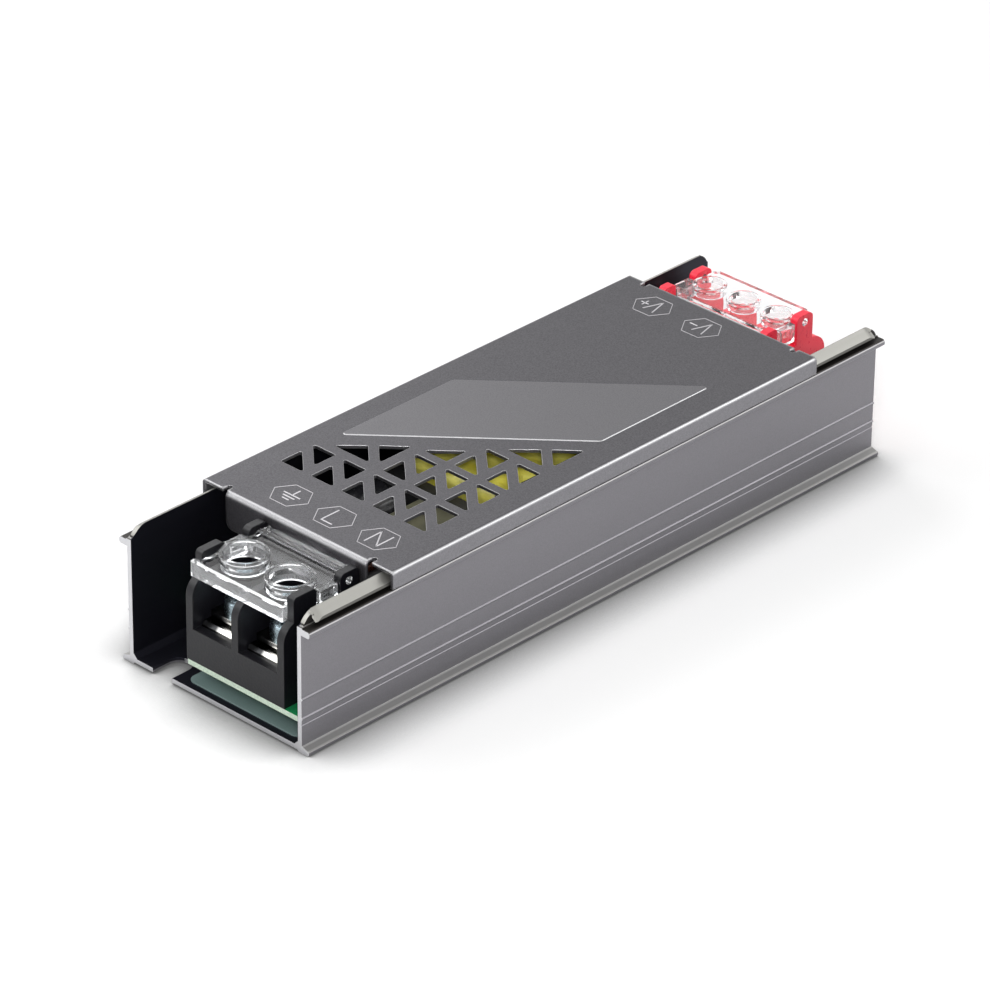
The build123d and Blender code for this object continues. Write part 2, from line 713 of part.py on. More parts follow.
# Transformer: two E halves of the core, a bobbin and its taped winding, axis across the case
core_x, core_y = 2.0, transformer_front + core_depth / 2
core_low, core_high = board_top + core_rise, board_top + core_rise + core_height
leg_outer, leg_centre, core_back = 3.6, 10.0, 3.4
window = core_depth / 2 - leg_outer - leg_centre / 2
core_mid = (core_low + core_high) / 2
for name, side in (("transformer_core_right", 1), ("transformer_core_left", -1)):
    with BuildPart() as core_half:
        with BuildSketch(Plane.XY.offset(core_low)):
            with Locations((core_x + side * core_span / 4, core_y)):
                Rectangle(core_span / 2, core_depth)
            window_x = core_x + side * (core_span / 2 - core_back) / 2
            with Locations(*[(window_x, core_y + way * (leg_centre + window) / 2) for way in (-1, 1)]):
                Rectangle(core_span / 2 - core_back, window, mode=Mode.SUBTRACT)
        extrude(amount=core_high - core_low)
    core_half.part.label = name
    export_step(core_half.part, f"parts/{name}.step")

bobbin_half = core_span / 2 - core_back - 0.15
bobbin_top = board_top + bobbin_rise
bobbin_cheek = 1.1
sleeve = 0.8
with BuildPart() as transformer_bobbin:
    with BuildSketch(Plane.YZ.offset(core_x - bobbin_half)):
        with Locations((core_y, core_mid)):
            Rectangle(leg_centre + 2 * sleeve, core_high - core_low + 2 * sleeve)
    extrude(amount=2 * bobbin_half)
    for side in (-1, 1):
        with BuildSketch(Plane.YZ.offset(core_x + side * bobbin_half)):
            with Locations((core_y, (board_top + bobbin_top) / 2)):
                Rectangle(core_depth - 2 * leg_outer - 0.4, bobbin_top - board_top)
        extrude(amount=-side * bobbin_cheek)
    with BuildSketch(Plane.YZ.offset(core_x - bobbin_half)):
        with Locations((core_y, core_mid)):
            Rectangle(leg_centre + 0.1, core_high - core_low + 0.1)
    extrude(amount=2 * bobbin_half, mode=Mode.SUBTRACT)
transformer_bobbin.part.label = "transformer_bobbin"
export_step(transformer_bobbin.part, "parts/transformer_bobbin.step")

with BuildPart() as transformer_winding:
    with BuildSketch(Plane.YZ.offset(core_x - bobbin_half + bobbin_cheek)) as turns:
        with Locations((core_y, core_mid)):
            Rectangle(core_depth - 2 * leg_outer - 1.0, 2 * (bobbin_top - 0.4 - core_mid))
        fillet(turns.vertices(), 2.0)
        with Locations((core_y, core_mid)):
            Rectangle(leg_centre + 2 * sleeve, core_high - core_low + 2 * sleeve, mode=Mode.SUBTRACT)
    extrude(amount=2 * (bobbin_half - bobbin_cheek))
transformer_winding.part.label = "transformer_winding"
export_step(transformer_winding.part, "parts/transformer_winding.step")

# Power transistor and output rectifier, each clipped to the channel wall over a thermal pad
pad_thickness = 0.4
tab_thickness = 1.3
body_thickness = 3.1
clip_sheet = 0.5
pad_width = 12.0
switch_y = transformer_rear + 1.5 + pad_width / 2
for name, y in (("switch_transistor", switch_y), ("output_rectifier", switch_y + pad_width + 1.5)):
    with BuildPart() as pad:
        with BuildSketch(Plane.YZ.offset(-wall_inner)):
            with Locations((y, board_top + 9.2)):
                Rectangle(pad_width, 17.0)
        extrude(amount=pad_thickness)
    pad.part.label = f"{name}_pad"
    export_step(pad.part, f"parts/{name}_pad.step")
    with BuildPart() as device:
        with BuildSketch(Plane.YZ.offset(-wall_inner + pad_thickness)):
            with Locations((y, board_top + 10.0)):
                Rectangle(10.0, 15.0)
            with Locations((y, board_top + 14.6)):
                Circle(1.8, mode=Mode.SUBTRACT)
        extrude(amount=tab_thickness)
        with BuildSketch(Plane.YZ.offset(-wall_inner + pad_thickness + tab_thickness)):
            with Locations((y, board_top + 7.0)):
                Rectangle(10.0, 9.0)
        extrude(amount=body_thickness)
        with BuildSketch(Plane.YZ.offset(-wall_inner + pad_thickness + tab_thickness + 1.0)):
            for step in (-2.54, 0, 2.54):
                with Locations((y + step, board_top + 1.25)):
                    Rectangle(0.9, 2.5)
        extrude(amount=0.5)
    device.part.label = name
    export_step(device.part, f"parts/{name}.step")
    spring_x = -wall_inner + pad_thickness + tab_thickness + body_thickness
    with BuildPart() as clip:
        with BuildSketch(Plane.XZ.offset(-y - 3.0)):
            with BuildLine():
                Polyline(
                    (spring_x, board_top + 9.0), (spring_x + 0.6, board_top + 8.0),
                    (spring_x + 1.4, board_top), (spring_x + 1.4 + clip_sheet, board_top),
                    (spring_x + 0.6 + clip_sheet, board_top + 8.2),
                    (spring_x + clip_sheet, board_top + 9.2), (spring_x + 1.0, board_top + 11.0),
                    (spring_x + 0.5, board_top + 11.2), close=True,
                )
            make_face()
        extrude(amount=6.0)
    clip.part.label = f"{name}_clip"
    export_step(clip.part, f"parts/{name}_clip.step")

# Output inductor: a ring lying on the board, wound all the way round. It and the output
# capacitors share the room between the transformer and the output block evenly.
coil_outer, coil_inner, coil_width, coil_wire, coil_gap = 9.0, 4.6, 8.0, 1.0, 3.0
can_radius = 5.0
can_height = 18.0
can_pitch = 10.6
block_back = output_end - block_inset - output_depth
room = (block_back - transformer_rear - 2 * (coil_outer + coil_wire) - 2 * can_radius) / 3
inductor_y = transformer_rear + room + coil_outer + coil_wire
inductor_plane = Plane((2.0, inductor_y, board_top + coil_width / 2 + coil_wire + 0.1))
with BuildPart() as inductor_core:
    with BuildSketch(inductor_plane):
        Circle(coil_outer)
        Circle(coil_inner, mode=Mode.SUBTRACT)
    extrude(amount=coil_width / 2, both=True)
    fillet(inductor_core.edges(), 0.6)
inductor_core.part.label = "inductor_core"
export_step(inductor_core.part, "parts/inductor_core.step")
with BuildPart() as inductor_winding:
    with BuildSketch(inductor_plane):
        Circle(coil_outer + coil_wire)
        Circle(coil_inner - coil_wire, mode=Mode.SUBTRACT)
    extrude(amount=coil_width / 2 + coil_wire, both=True)
    fillet(inductor_winding.edges(), 1.2)
    with BuildSketch(inductor_plane):
        Circle(coil_outer)
        Circle(coil_inner, mode=Mode.SUBTRACT)
    extrude(amount=coil_width / 2, both=True, mode=Mode.SUBTRACT)
    with BuildSketch(inductor_plane):
        with Locations((0, coil_outer)):
            Rectangle(coil_gap, 2 * coil_outer)
    extrude(amount=coil_width, both=True, mode=Mode.SUBTRACT)
inductor_winding.part.label = "inductor_winding"
export_step(inductor_winding.part, "parts/inductor_winding.step")

# Output capacitors standing in a row from the right wall
for number in (1, 2, 3):
    can_x = wall_inner - 0.5 - can_radius - (3 - number) * can_pitch
    with BuildPart() as can:
        with BuildSketch(Plane.XZ):
            with BuildLine():
                Polyline(
                    (0, 0), (can_radius - 0.3, 0), (can_radius, 0.3), (can_radius, 1.6),
                    (can_radius - 0.45, 2.1), (can_radius - 0.45, 2.4), (can_radius, 2.9),
                    (can_radius, can_height - 0.4),
                    (can_radius - 0.4, can_height), (can_radius - 0.8, can_height),
                    (can_radius - 0.9, can_height - 0.3), (0, can_height - 0.3), close=True,
                )
            make_face()
        revolve(axis=Axis.Z)
        with BuildSketch(Plane.XY.offset(can_height - 0.3)):
            Rectangle(0.5, 2 * can_radius - 3.0)
            Rectangle(2 * can_radius - 3.0, 0.5)
        extrude(amount=-0.2, mode=Mode.SUBTRACT)
    can.part.locate(Location((can_x, block_back - room - can_radius, board_top)))
    can.part.label = f"output_capacitor_{number}"
    export_step(can.part, f"parts/output_capacitor_{number}.step")
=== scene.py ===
import math

import bmesh
import bpy
from mathutils import Matrix, Vector


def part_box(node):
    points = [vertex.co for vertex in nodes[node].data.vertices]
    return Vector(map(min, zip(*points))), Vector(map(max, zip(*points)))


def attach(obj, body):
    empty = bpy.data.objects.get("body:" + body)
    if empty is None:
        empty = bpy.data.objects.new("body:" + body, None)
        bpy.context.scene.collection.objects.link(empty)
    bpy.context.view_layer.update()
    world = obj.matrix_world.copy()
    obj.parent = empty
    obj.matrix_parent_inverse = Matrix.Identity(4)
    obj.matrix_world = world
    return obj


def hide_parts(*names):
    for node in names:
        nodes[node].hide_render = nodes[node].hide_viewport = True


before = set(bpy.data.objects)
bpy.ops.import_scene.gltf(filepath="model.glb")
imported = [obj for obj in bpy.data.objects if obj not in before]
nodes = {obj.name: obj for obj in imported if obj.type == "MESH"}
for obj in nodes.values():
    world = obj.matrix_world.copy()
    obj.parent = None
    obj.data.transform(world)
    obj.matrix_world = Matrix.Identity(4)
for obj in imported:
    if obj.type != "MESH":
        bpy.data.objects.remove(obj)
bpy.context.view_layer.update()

mm = 0.001
input_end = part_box("base_channel")[0].y
output_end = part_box("base_channel")[1].y
cover_middle = (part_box("top_cover")[0].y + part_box("top_cover")[1].y) / 2
cover_half = (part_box("top_cover")[1].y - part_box("top_cover")[0].y) / 2

# Camera of the photograph
camera_azimuth = 43.53
camera_elevation = 29.48
camera_roll = 0.66
camera_distance = 0.9964
camera_lens = 205.37
camera_aim = Vector((-2.71, -1.93, 11.68)) * mm

# Input block: its pole pitch and the middle of its first pole
input_pitch = 11.0 * mm
input_first_pole = -1.45 * mm

# Channel: the lip on each wall, and the rounds at its ends
cad_end_round = 2.3 * mm
input_end_round = 4.4 * mm
output_end_round = 3.4 * mm
lip_low = 26.15 * mm
lip_start = 20.5 * mm
lip_slope = 0.88
weld_distance = 0.0005 * mm
near_enough = 0.01 * mm

# Channel: where its colour changes, for the painted shade inside and in the groove and the painted light on
# the lip and foot
inside_half = 20.3 * mm
inside_low, inside_high = 0.6 * mm, 26.6 * mm
groove_low, groove_high = 24.0 * mm, 26.1 * mm
crest_low = 24.75 * mm
foot_high = 1.45 * mm
# Painted highlight lines on the ledge and on the foot: lower and upper edge, and strength
painted_highlight_lines = (
    (24.42 * mm, 24.58 * mm, 0.6), (23.75 * mm, 23.98 * mm, 0.8),
    (1.26 * mm, 1.42 * mm, 0.8), (0.78 * mm, 0.96 * mm, 0.8),
)

# Cover: the raised label field, and the bends at its two ends
cover_sheet_top = 27.6 * mm
field_low = cover_sheet_top + 0.09 * mm
bend_reach = 1.6 * mm
edge_radius, bend_radius = 0.2 * mm, 0.9 * mm

# Marks on the cover
mark_height = 0.05 * mm
mark_crown = 0.55
mark_line = 0.2 * mm
letter_line = 0.36 * mm
input_mark_y = input_end + 26.0 * mm
output_mark_y = output_end - 25.0 * mm

# Studio
floor_half = 6.0
floor_white = (0.96, 0.96, 0.96)
floor_glow, floor_glow_share = 1.4, 0.2
# the floor's painted shadow near the object: its reach and its darkest shade
close_shadow_reach = 15.0 * mm
close_shadow_shade = 0.20
world_light = 0.26


# Materials: every finish is a Principled shader fed by procedural noise in the part's own metres
def start(name):
    """A new material with its tree, its Principled shader and its coordinates."""
    material = bpy.data.materials.new(name)
    material.use_nodes = True
    tree = material.node_tree
    place = tree.nodes.new("ShaderNodeTexCoord")
    return material, tree, tree.nodes["Principled BSDF"], place


def maths(tree, operation, first, second=0.0):
    step = tree.nodes.new("ShaderNodeMath")
    step.operation = operation
    for socket, value in ((step.inputs[0], first), (step.inputs[1], second)):
        if isinstance(value, (int, float)):
            socket.default_value = value
        else:
            tree.links.new(value, socket)
    return step.outputs["Value"]


def parted(tree, place, output):
    """The x, y and z of a coordinate output."""
    split = tree.nodes.new("ShaderNodeSeparateXYZ")
    tree.links.new(place.outputs[output], split.inputs["Vector"])
    return split


def noise(tree, place, size, stretch=(1, 1, 1), detail=3.0):
    """Noise from 0 to 1 with spots of about the given size, in metres."""
    mapping = tree.nodes.new("ShaderNodeMapping")
    mapping.inputs["Scale"].default_value = [s / size for s in stretch]
    texture = tree.nodes.new("ShaderNodeTexNoise")
    texture.inputs["Scale"].default_value = 1.0
    texture.inputs["Detail"].default_value = detail
    tree.links.new(place.outputs["Object"], mapping.inputs["Vector"])
    tree.links.new(mapping.outputs["Vector"], texture.inputs["Vector"])
    return texture.outputs["Fac"]


def ranged(tree, value, low, high, bottom=0.3, top=0.7):
    """The value taken from bottom and top to low and high, and no further."""
    step = tree.nodes.new("ShaderNodeMapRange")
    step.inputs["From Min"].default_value = bottom
    step.inputs["From Max"].default_value = top
    step.inputs["To Min"].default_value = low
    step.inputs["To Max"].default_value = high
    tree.links.new(value, step.inputs["Value"])
    return step.outputs["Result"]


def band(tree, value, low, high, rise=0.05 * mm, fall=0.05 * mm):
    """1 between two places and 0 outside them, with a soft edge at each."""
    start_of_band = ranged(tree, value, 0.0, 1.0, low, low + rise)
    end_of_band = ranged(tree, value, 1.0, 0.0, high - fall, high)
    return maths(tree, "MULTIPLY", start_of_band, end_of_band)


def mixed(tree, factor, first, second):
    mix = tree.nodes.new("ShaderNodeMix")
    mix.data_type = "RGBA"
    tree.links.new(factor, mix.inputs["Factor"])
    for socket, colour in ((mix.inputs[6], first), (mix.inputs[7], second)):
        if isinstance(colour, tuple):
            socket.default_value = (*colour, 1.0)
        else:
            tree.links.new(colour, socket)
    return mix.outputs[2]


def rounded(tree, radius):
    """Normals turned softly over each sharp edge. The radius is a number or a socket, in metres."""
    bevel = tree.nodes.new("ShaderNodeBevel")
    bevel.samples = 8
    if isinstance(radius, float):
        bevel.inputs["Radius"].default_value = radius
    else:
        tree.links.new(radius, bevel.inputs["Radius"])
    return bevel.outputs["Normal"]


def bumped(tree, shader, value, height, normal=None):
    bump = tree.nodes.new("ShaderNodeBump")
    bump.inputs["Strength"].default_value = 1.0
    bump.inputs["Distance"].default_value = height
    tree.links.new(value, bump.inputs["Height"])
    if normal:
        tree.links.new(normal, bump.inputs["Normal"])
    tree.links.new(bump.outputs["Normal"], shader.inputs["Normal"])


def darker(colour, share):
    return tuple(c * share for c in colour)


def finish(name, colour, roughness, metallic=0.0, grain=0.4, height=0.01, spread=0.85, stretch=(1, 1, 1),
           edge=0.12, coat=0.0, specular=0.5):
    """A finish with uneven colour and roughness, a fine relief and softly rounded edges. Sizes in mm."""
    material, tree, shader, place = start(name)
    cloud = noise(tree, place, 6.0 * mm, stretch)
    fine = noise(tree, place, grain * mm, stretch)
    shader.inputs["Metallic"].default_value = metallic
    shader.inputs["Specular IOR Level"].default_value = specular
    shader.inputs["Coat Weight"].default_value = coat
    shader.inputs["Coat Roughness"].default_value = 0.08
    patches = mixed(tree, ranged(tree, cloud, 0.0, 1.0), darker(colour, spread), colour)
    speckled = mixed(tree, ranged(tree, fine, 0.0, 0.35), patches, darker(colour, 1.25))
    tree.links.new(speckled, shader.inputs["Base Color"])
    tree.links.new(ranged(tree, fine, roughness * 0.88, roughness * 1.12), shader.inputs["Roughness"])
    bumped(tree, shader, fine, height * mm, rounded(tree, edge * mm) if edge else None)
    return material


def cover_paint():
    """Dark metallic powder paint. The label field is a little lighter, and the turned-down skirts carry
    painted light: a lighter colour on the side faces.
    """
    material, tree, shader, place = start("cover_paint")
    spot, face = parted(tree, place, "Object"), parted(tree, place, "Normal")
    field = ranged(tree, spot.outputs["Z"], 0.0, 1.0, field_low, field_low + 0.03 * mm)
    skirt_painted_lighter = ranged(tree, maths(tree, "ABSOLUTE", face.outputs["X"]), 0.0, 1.0, 0.45, 0.85)
    flake = noise(tree, place, 0.22 * mm, detail=2.0)
    cloud = noise(tree, place, 9.0 * mm)
    speck = ranged(tree, flake, 0.0, 1.0)
    plain = mixed(tree, speck, (0.064, 0.062, 0.069), (0.110, 0.107, 0.116))
    lighter = mixed(tree, speck, (0.116, 0.114, 0.122), (0.166, 0.163, 0.172))
    # painted light: faces that turn sideways, the skirts, get this lighter colour
    side = mixed(tree, speck, (0.202, 0.198, 0.214), (0.260, 0.256, 0.273))
    colour = mixed(tree, skirt_painted_lighter, mixed(tree, field, plain, lighter), side)
    # the bends where the sheet turns get a painted highlight, a lighter colour, and are a little smoother
    along = maths(tree, "ABSOLUTE", maths(tree, "SUBTRACT", spot.outputs["Y"], cover_middle))
    bend_start = cover_half - bend_reach
    normal = rounded(tree, ranged(tree, along, edge_radius, bend_radius, bend_start, bend_start + 0.1 * mm))
    tilt = tree.nodes.new("ShaderNodeSeparateXYZ")
    tree.links.new(normal, tilt.inputs["Vector"])
    squared = maths(tree, "POWER", tilt.outputs["Z"], 2.0)
    turned = maths(tree, "MULTIPLY", squared, maths(tree, "SUBTRACT", 1.0, squared))
    painted_bend_highlight = ranged(tree, turned, 0.0, 0.9, 0.06, 0.22)
    tree.links.new(mixed(tree, painted_bend_highlight, colour, (0.47, 0.47, 0.48)), shader.inputs["Base Color"])
    shader.inputs["Metallic"].default_value = 0.75
    rough = maths(tree, "SUBTRACT", ranged(tree, cloud, 0.40, 0.46), maths(tree, "MULTIPLY", painted_bend_highlight, 0.14))
    tree.links.new(rough, shader.inputs["Roughness"])
    bumped(tree, shader, flake, 0.008 * mm, normal)
    return material


def anodised_channel():
    """Satin anodised extrusion with faint draw lines, painted shade on its inside and bright cut metal on its
    two ends.
    """
    material, tree, shader, place = start("anodised_channel")
    draw = noise(tree, place, 0.5 * mm, (1, 0.02, 1))
    grain = noise(tree, place, 0.18 * mm, detail=2.0)
    spot, face = parted(tree, place, "Object"), parted(tree, place, "Normal")
    height = spot.outputs["Z"]
    cut = ranged(tree, maths(tree, "ABSOLUTE", face.outputs["Y"]), 0.0, 1.0, 0.93, 0.97)
    upward = ranged(tree, face.outputs["Z"], 0.0, 1.0, 0.4, 0.6)
    offset = maths(tree, "ABSOLUTE", spot.outputs["X"])
    within = ranged(tree, offset, 1.0, 0.0, inside_half, inside_half + 0.2 * mm)
    beyond = maths(tree, "SUBTRACT", 1.0, within)
    painted_inside_shade = maths(tree, "MULTIPLY", within, band(tree, height, inside_low, inside_high, 0.2 * mm, 0.2 * mm))
    wall = mixed(tree, ranged(tree, draw, 0.0, 0.35), (0.208, 0.202, 0.219), (0.240, 0.234, 0.252))
    wall = mixed(tree, ranged(tree, grain, 0.0, 0.35), wall, (0.305, 0.298, 0.319))
    # painted shade: the inside walls and floor are made near black
    wall = mixed(tree, painted_inside_shade, wall, (0.018, 0.018, 0.027))
    # painted shade makes the groove between ledge and lip dark, and painted light makes the lip, the foot and
    # a few edges pale
    painted_groove_shade = maths(tree, "MULTIPLY", band(tree, height, groove_low, groove_high, fall=0.2 * mm), beyond)
    wall = mixed(tree, painted_groove_shade, wall, (0.030, 0.027, 0.025))
    # painted light: the upward faces of the lip's crest are lighter
    painted_lit_crest = maths(tree, "MULTIPLY", ranged(tree, height, 0.0, 1.0, crest_low, crest_low + 0.1 * mm), upward)
    wall = mixed(tree, painted_lit_crest, wall, (0.30, 0.296, 0.276))
    outer = maths(tree, "MULTIPLY", upward, beyond)
    # painted light: the upward faces of the foot are lighter
    painted_lit_foot = maths(tree, "MULTIPLY", ranged(tree, height, 1.0, 0.0, foot_high - 0.04 * mm, foot_high), outer)
    wall = mixed(tree, painted_lit_foot, wall, (0.27, 0.268, 0.262))
    # painted highlights: pale lines along the upward edges of the ledge and the foot
    for low, high, share in painted_highlight_lines:
        line = maths(tree, "MULTIPLY", maths(tree, "MULTIPLY", band(tree, height, low, high), share), outer)
        wall = mixed(tree, line, wall, (0.44, 0.435, 0.425))
    tree.links.new(mixed(tree, cut, wall, (0.62, 0.62, 0.64)), shader.inputs["Base Color"])
    shader.inputs["Metallic"].default_value = 0.8
    tree.links.new(ranged(tree, draw, 0.40, 0.46), shader.inputs["Roughness"])
    bumped(tree, shader, grain, 0.005 * mm, rounded(tree, 0.12 * mm))
    return material


def clear_plastic():
    """Clear moulding with slight flow waves; its upright walls are made faintly milky white as a painted
    highlight.
    """
    material, tree, shader, place = start("clear_plastic")
    face = parted(tree, place, "Normal")
    wave = noise(tree, place, 3.0 * mm, detail=1.0)
    # painted highlight: upright walls transmit less and show white
    upright = ranged(tree, maths(tree, "ABSOLUTE", face.outputs["Z"]), 1.0, 0.0, 0.2, 0.7)
    shader.inputs["Base Color"].default_value = (0.98, 0.99, 1.0, 1.0)
    tree.links.new(ranged(tree, upright, 1.0, 0.86, 0.0, 1.0), shader.inputs["Transmission Weight"])
    shader.inputs["IOR"].default_value = 1.26
    shader.inputs["Specular IOR Level"].default_value = 0.4
    tree.links.new(ranged(tree, wave, 0.01, 0.03), shader.inputs["Roughness"])
    bumped(tree, shader, wave, 0.012 * mm)
    return material


def board_laminate():
    """Pale glass laminate at the cut edges, green under the solder mask."""
    material, tree, shader, place = start("board_laminate")
    face = parted(tree, place, "Normal")
    weave = noise(tree, place, 0.35 * mm)
    flat = ranged(tree, maths(tree, "ABSOLUTE", face.outputs["Z"]), 0.0, 1.0, 0.8, 0.9)
    edge = mixed(tree, ranged(tree, weave, 0.0, 1.0), (0.44, 0.56, 0.44), (0.62, 0.72, 0.60))
    mask = mixed(tree, ranged(tree, weave, 0.0, 1.0), (0.010, 0.19, 0.060), (0.016, 0.25, 0.085))
    tree.links.new(mixed(tree, flat, edge, mask), shader.inputs["Base Color"])
    tree.links.new(ranged(tree, flat, 0.6, 0.25, 0.0, 1.0), shader.inputs["Roughness"])
    bumped(tree, shader, weave, 0.01 * mm, rounded(tree, 0.08 * mm))
    return material


def shaded_nickel():
    """Bright plate in the input bays, with painted shade on its left half beside the moulded wall."""
    material, tree, shader, place = start("shaded_nickel")
    spot = parted(tree, place, "Object")
    fine = noise(tree, place, 0.3 * mm)
    first = maths(tree, "ADD", spot.outputs["X"], input_pitch / 2 - input_first_pole)
    across = maths(tree, "SUBTRACT", maths(tree, "FLOORED_MODULO", first, input_pitch), input_pitch / 2)
    # painted shade: the left part of each bay's plate is made near black
    clear_of_painted_shade = ranged(tree, across, 0.0, 1.0, -1.3 * mm, 0.2 * mm)
    plate = mixed(tree, ranged(tree, fine, 0.0, 1.0), (0.72, 0.71, 0.68), (0.88, 0.87, 0.84))
    tree.links.new(mixed(tree, clear_of_painted_shade, (0.035, 0.036, 0.038), plate), shader.inputs["Base Color"])
    shader.inputs["Metallic"].default_value = 1.0
    tree.links.new(ranged(tree, fine, 0.18, 0.26), shader.inputs["Roughness"])
    bumped(tree, shader, fine, 0.006 * mm, rounded(tree, 0.12 * mm))
    return material


def wrapped_tape():
    """Yellow tape, wrinkled across its turns."""
    material, tree, shader, place = start("wrapped_tape")
    wrinkle = noise(tree, place, 2.2 * mm, (0.5, 1.0, 1.0), 4.0)
    patches = mixed(tree, ranged(tree, wrinkle, 0.0, 1.0), (0.88, 0.78, 0.08), (1.0, 0.94, 0.22))
    tree.links.new(patches, shader.inputs["Base Color"])
    shader.inputs["Roughness"].default_value = 0.32
    shader.inputs["Coat Weight"].default_value = 0.3
    bumped(tree, shader, wrinkle, 0.35 * mm, rounded(tree, 0.2 * mm))
    return material


def dress(material, *names):
    """Gives a material to the solids of these names."""
    for name in names:
        data = nodes[name].data
        data.materials.clear()
        data.materials.append(material)


input_screws = [n for n in nodes if n.startswith("input_screw_")]
output_screws = [n for n in nodes if n.startswith("output_screw_")]
dress(anodised_channel(), "base_channel")
dress(cover_paint(), "top_cover")
dress(finish("grey_green_sheet", (0.17, 0.24, 0.235), 0.55, grain=0.3, height=0.008), "insulation_sheet")
dress(board_laminate(), "circuit_board")
dress(finish("blue_zinc", (0.34, 0.42, 0.46), 0.26, metallic=1.0, grain=0.35, height=0.03, spread=0.6),
      "board_screws", *input_screws)
dress(finish("satin_nickel", (0.86, 0.85, 0.83), 0.38, metallic=0.35, grain=0.3, height=0.008, edge=0.2),
      *output_screws)
dress(finish("bright_nickel", (0.86, 0.84, 0.80), 0.16, metallic=1.0, grain=0.3, height=0.006, spread=0.85),
      *[n for n in nodes if "output_contact_" in n or "output_clamp_" in n])
dress(shaded_nickel(), *[n for n in nodes if "input_contact_" in n or "input_clamp_" in n])
dress(finish("turned_brass", (0.70, 0.56, 0.30), 0.25, metallic=1.0, stretch=(1, 1, 8)), "board_standoffs")
dress(finish("black_moulding", (0.004, 0.004, 0.006), 0.42, grain=0.45, height=0.03, spread=0.7, edge=0.2,
             specular=0.4),
      "input_terminal_body")
dress(finish("red_moulding", (1.0, 0.026, 0.062), 0.30, grain=0.6, height=0.008, spread=0.9, edge=0.2,
             specular=0.35),
      "output_terminal_body")
dress(clear_plastic(), "input_terminal_lid", "output_terminal_lid")
dress(finish("black_sleeve", (0.020, 0.020, 0.024), 0.25, grain=0.8, height=0.01, coat=0.2),
      "bulk_capacitor", "output_capacitor_1", "output_capacitor_2", "output_capacitor_3")
dress(finish("fuse_case", (0.05, 0.04, 0.035), 0.45), "fuse")
dress(finish("blue_resin", (0.020, 0.035, 0.30), 0.16, grain=1.5, height=0.05, coat=0.5),
      "surge_absorber", "safety_capacitor")
dress(finish("green_resin", (0.03, 0.05, 0.035), 0.4, grain=0.9, height=0.03), "inrush_limiter")
dress(finish("ferrite", (0.035, 0.035, 0.037), 0.5, grain=0.3, height=0.02, edge=0.25),
      "choke_core", "inductor_core", "transformer_core_left", "transformer_core_right")
dress(finish("enamelled_wire", (0.20, 0.065, 0.03), 0.28, metallic=0.7, grain=0.8, height=0.25,
             stretch=(1, 4, 1)),
      "choke_winding_1", "choke_winding_2", "inductor_winding")
dress(finish("olive_case", (0.155, 0.150, 0.085), 0.5, grain=0.5, height=0.02, edge=0.3), "filter_capacitor")
dress(wrapped_tape(), "transformer_winding")
dress(finish("black_bobbin", (0.02, 0.02, 0.02), 0.45), "transformer_bobbin")
dress(finish("black_epoxy", (0.02, 0.02, 0.022), 0.5),
      "bridge_rectifier", "optocoupler", "control_chip", "switch_transistor", "output_rectifier")
dress(finish("thermal_pad", (0.20, 0.22, 0.25), 0.7), "switch_transistor_pad", "output_rectifier_pad")
dress(finish("spring_steel", (0.45, 0.45, 0.47), 0.3, metallic=1.0),
      "switch_transistor_clip", "output_rectifier_clip")


# The channel again, with the lip sloping down and its ends milled off in a wider round
def reshaped_channel():
    section = bmesh.new()
    section.from_mesh(nodes["base_channel"].data)
    bmesh.ops.remove_doubles(section, verts=section.verts, dist=weld_distance)
    top = max(vertex.co.z for vertex in section.verts)
    for vertex in section.verts:
        place = vertex.co
        depth = min(place.y - input_end, output_end - place.y)
        radius = input_end_round if place.y < 0 else output_end_round
        if place.z > top - cad_end_round + near_enough and depth < cad_end_round + near_enough:
            height = place.z - (top - radius)
            reach = radius - math.sqrt(max(radius ** 2 - height ** 2, 0.0))
            place.y = input_end + reach if place.y < 0 else output_end - reach
        if place.z > lip_low and abs(place.x) > lip_start:
            place.z -= (abs(place.x) - lip_start) * lip_slope
    mesh = bpy.data.meshes.new("channel_extrusion")
    section.to_mesh(mesh)
    section.free()
    mesh.polygons.foreach_set("use_smooth", [False] * len(mesh.polygons))
    mesh.materials.append(nodes["base_channel"].data.materials[0])
    piece = bpy.data.objects.new("channel_extrusion", mesh)
    bpy.context.scene.collection.objects.link(piece)
    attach(piece, "case")
    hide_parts("base_channel")


reshaped_channel()


# Marks raised on the cover over each terminal: a hexagon with a sign in it, lighter than the cover as a
# painted highlight
def strokes(name, lines, centre, right, up):
    """Thin raised lines on the cover. Points are in mm, along right and up from centre."""
    vertices, faces = [], []
    for order, line in enumerate(lines):
        width = letter_line if order else mark_line
        for first, second in zip(line, line[1:]):
            a = centre + (right * first[0] + up * first[1]) * mm
            b = centre + (right * second[0] + up * second[1]) * mm
            along = (b - a).normalized()
            across = Vector((-along.y, along.x, 0)) * width / 2
            a, b = a - along * width / 4, b + along * width / 4
            base = len(vertices)
            for lift, share in ((-mark_height, 1.0), (mark_height, mark_crown)):
                for point in (a - across * share, b - across * share, b + across * share, a + across * share):
                    vertices.append(point + Vector((0, 0, lift)))
            quads = ((0, 1, 2, 3), (4, 7, 6, 5), (0, 4, 5, 1), (1, 5, 6, 2), (2, 6, 7, 3), (3, 7, 4, 0))
            faces += [[base + i for i in quad] for quad in quads]
    mesh = bpy.data.meshes.new(name)
    mesh.from_pydata(vertices, [], faces)
    mesh.materials.append(painted_highlight_mark_finish)
    piece = bpy.data.objects.new(name, mesh)
    bpy.context.scene.collection.objects.link(piece)
    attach(piece, "case")


